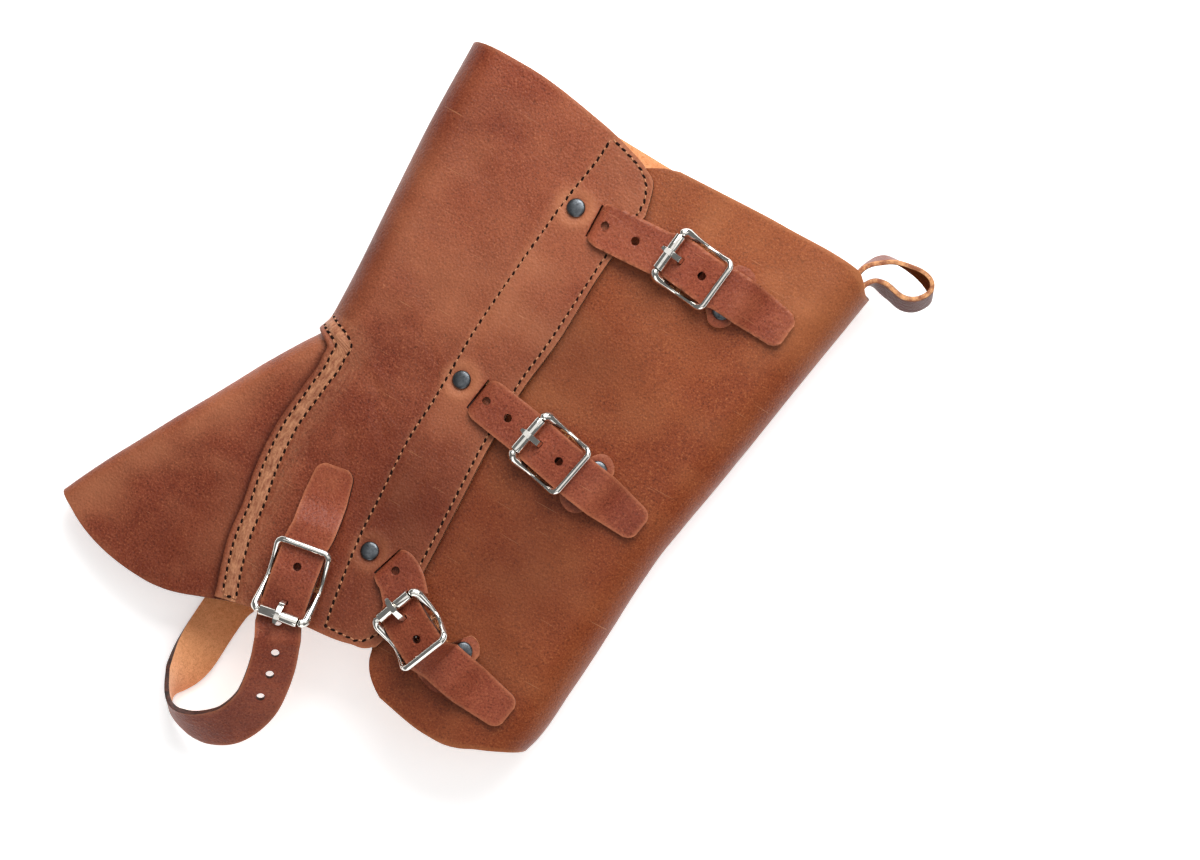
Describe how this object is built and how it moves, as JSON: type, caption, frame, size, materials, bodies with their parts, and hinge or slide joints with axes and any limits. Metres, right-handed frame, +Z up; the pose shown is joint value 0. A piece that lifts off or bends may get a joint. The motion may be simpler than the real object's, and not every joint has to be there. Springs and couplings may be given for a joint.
{
  "type": "leather boot spat (left foot, lying flat on its inner side)",
  "caption": "Leather spat for a boot with a vamp, strap-and-buckle side closure, strap under the foot and a pull loop, lying flattened.",
  "frame": {"origin": "point on the flat underside of the medial panel, where the spat rests", "axes": "+Z up from the surface it lies on, +Y up the leg, +X from the shin towards the calf and heel"},
  "size_m": [0.2776, 0.3254, 0.057],
  "materials": {
    "panel_leather": "waxed vegetable-tanned hide, reddish brown, with pull-up highlights and a suede flesh side",
    "strap_leather": "waxed bridle leather, darker red brown, pebbled grain",
    "nickel": "polished plating",
    "black_metal": "glossy black nickel"
  },
  "bodies": {
    "root": {"main_panel": "panel_leather", "vamp": "panel_leather", "placket_facing": "panel_leather", "closure_1_strap": "strap_leather", "closure_2_strap": "strap_leather", "closure_3_strap": "strap_leather", "closure_1_chape": "strap_leather", "closure_2_chape": "strap_leather", "closure_3_chape": "strap_leather", "foot_strap": "strap_leather", "foot_chape": "strap_leather", "pull_loop": "strap_leather", "closure_1_buckle_frame": "nickel", "closure_2_buckle_frame": "nickel", "closure_3_buckle_frame": "nickel", "foot_buckle_frame": "nickel", "closure_1_roller": "nickel", "closure_2_roller": "nickel", "closure_3_roller": "nickel", "foot_roller": "nickel", "closure_1_prong": "nickel", "closure_2_prong": "nickel", "closure_3_prong": "nickel", "foot_prong": "nickel", "placket_rivet_1": "black_metal", "placket_rivet_2": "black_metal", "placket_rivet_3": "black_metal", "closure_1_chape_rivet_up": "black_metal", "closure_1_chape_rivet_down": "black_metal", "closure_2_chape_rivet_up": "black_metal", "closure_2_chape_rivet_down": "black_metal", "closure_3_chape_rivet_up": "black_metal", "closure_3_chape_rivet_down": "black_metal", "foot_chape_rivet": "black_metal", "foot_rivet_1": "black_metal", "foot_rivet_2": "black_metal"}
  },
  "joints": []
}
